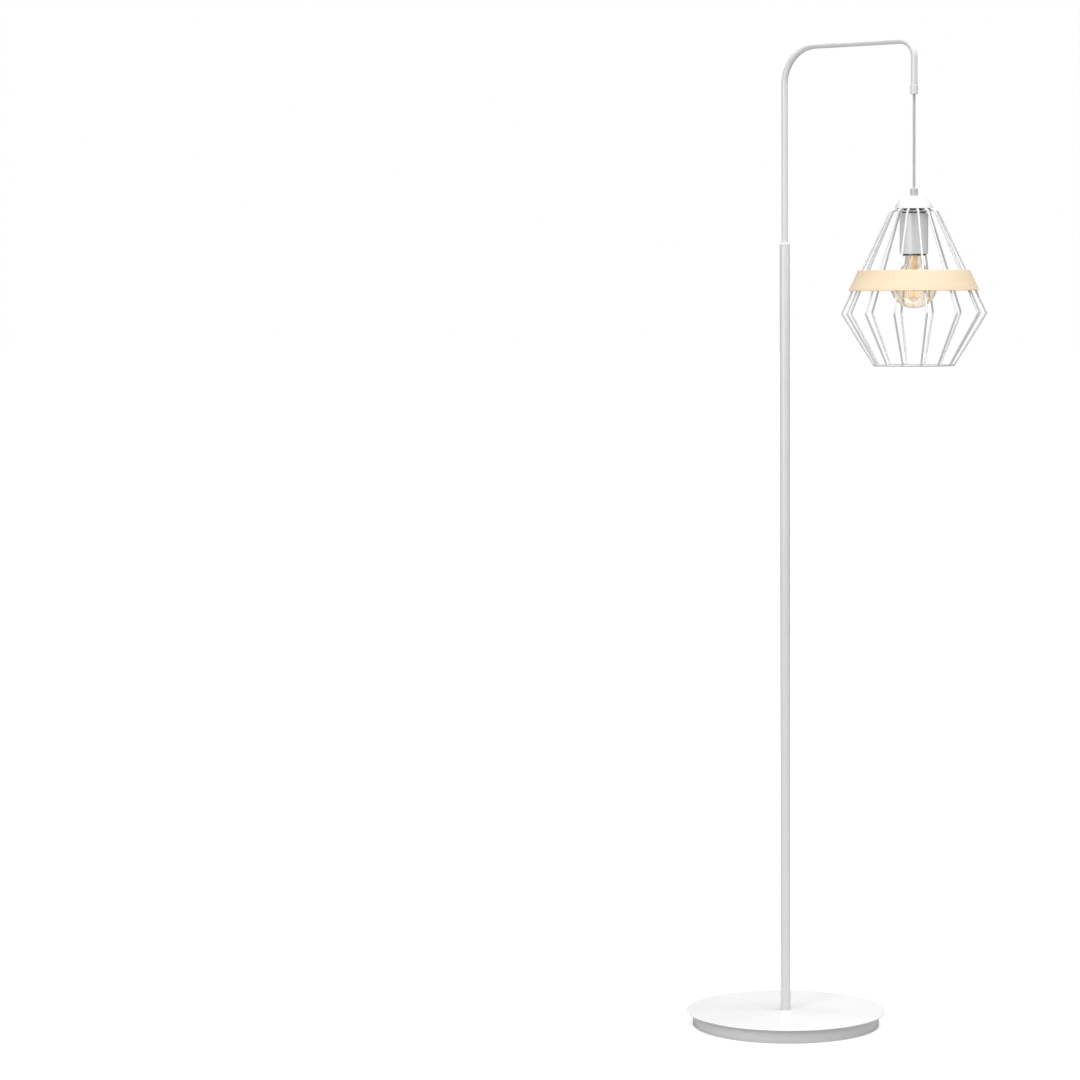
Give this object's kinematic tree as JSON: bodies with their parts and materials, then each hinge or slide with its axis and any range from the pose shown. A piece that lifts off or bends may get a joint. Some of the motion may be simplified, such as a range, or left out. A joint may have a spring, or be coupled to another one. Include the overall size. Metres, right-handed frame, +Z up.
{
  "type": "floor lamp",
  "caption": "Floor lamp: round weighted base, slim pole, bent arm that swivels, and a wire cage pendant with a wooden band hung on a cord from the arm's tip.",
  "frame": {"origin": "centre of the round base on the floor, which is the foot of the pole's axis", "axes": "+Z up along the pole, +X from the pole towards the hanging cord along the arm, +Y to the left of the arm seen from above with +X forward"},
  "size_m": [0.5764, 0.36, 1.76],
  "materials": {
    "white_paint": "satin powder coat",
    "zinc_steel": "zinc-plated",
    "cast_iron": "as cast, painted dark",
    "foam_pad": "closed-cell foam sheet",
    "white_nylon": "moulded, satin",
    "white_flex": "extruded sheath, satin",
    "black_phenolic": "moulded, satin",
    "porcelain": "glazed, gloss",
    "block_plastic": "moulded, satin",
    "brass": "drawn, bright",
    "cap_aluminium": "drawn, bright",
    "solder": "soldered",
    "amber_glass": "tinted, clear",
    "clear_glass": "clear",
    "filament": "dark wire, warm when lit",
    "hook_wire": "fine drawn wire",
    "pale_wood": "bent strip, clear matt lacquer"
  },
  "bodies": {
    "stand": {"floor_pad": "foam_pad", "bottom_cover": "zinc_steel", "cover_screws": "zinc_steel", "ballast_weight": "cast_iron", "base_skirt": "white_paint", "base_plate": "white_paint", "inlet_gland": "white_nylon", "inlet_gland_nut": "white_nylon", "terminal_block": "block_plastic", "terminal_screws": "zinc_steel", "pole_nipple": "zinc_steel", "nipple_washer": "zinc_steel", "nipple_nut": "zinc_steel", "pole": "white_paint", "pole_foot_insert": "zinc_steel", "pole_stop_bush": "white_nylon", "pole_top_bush": "white_nylon", "stand_flex": "white_flex"},
    "arm": {"arm_tube": "white_paint", "arm_guide_bush": "white_nylon", "arm_flex": "white_flex", "cord_stop_sleeve": "zinc_steel", "tip_ferrule": "white_paint"},
    "cord_root": {"cord_root": "white_flex"},
    "cord": {"pendant_cord": "white_flex"},
    "shade": {"cord_grip": "white_paint", "grip_screw": "zinc_steel", "shade_nipple": "zinc_steel", "shade_flex": "white_flex", "dome_cap": "white_paint", "dome_locknut": "zinc_steel", "hub_disc": "white_paint", "hub_nut": "zinc_steel", "cage_wires": "white_paint", "cage_mouth_ring": "white_paint", "wood_band": "pale_wood", "insulating_washer": "black_phenolic", "lampholder_sleeve": "white_paint", "lampholder_cap": "black_phenolic", "lampholder_skirt": "black_phenolic", "holder_insulator": "porcelain", "holder_terminal_screws": "brass", "holder_screw_shell": "brass", "holder_centre_contact": "brass"},
    "bulb_contact": {"bulb_contact_tip": "solder", "bulb_cap_insulator": "black_phenolic"},
    "bulb": {"bulb_screw_cap": "cap_aluminium", "bulb_glass": "amber_glass", "bulb_stem": "clear_glass", "filament_hooks": "hook_wire", "bulb_filament": "filament"}
  },
  "joints": [
    {"name": "arm_swivel", "type": "hinge", "parent": "stand", "child": "arm", "pos_m": [0, 0, 1.4054], "axis": [0, 0, 1], "range_deg": [-175, 175]},
    {"name": "cord_side_swing", "type": "hinge", "parent": "arm", "child": "cord_root", "pos_m": [0.2705, 0, 1.6611], "axis": [1, 0, 0], "range_deg": [-30, 30]},
    {"name": "cord_swing", "type": "hinge", "parent": "cord_root", "child": "cord", "pos_m": [0.2705, 0, 1.6611], "axis": [0, 1, 0], "range_deg": [-35, 22]},
    {"name": "shade_twist", "type": "hinge", "parent": "cord", "child": "shade", "pos_m": [0.2705, 0, 1.4983], "axis": [0, 0, 1], "range_deg": [-180, 180]},
    {"name": "bulb_travel", "type": "slide", "parent": "shade", "child": "bulb_contact", "axis": [0, 0, -1], "range_m": [0, 0.0109]},
    {"name": "bulb_turn", "type": "hinge", "parent": "bulb_contact", "child": "bulb", "pos_m": [0.2705, 0, 1.3965], "axis": [0, 0, -1], "range_deg": [0, 1080]}
  ],
  "couplings": [
    {"joint": "bulb_travel", "follows": "bulb_turn", "m_per_rad": 0.00057757}
  ]
}
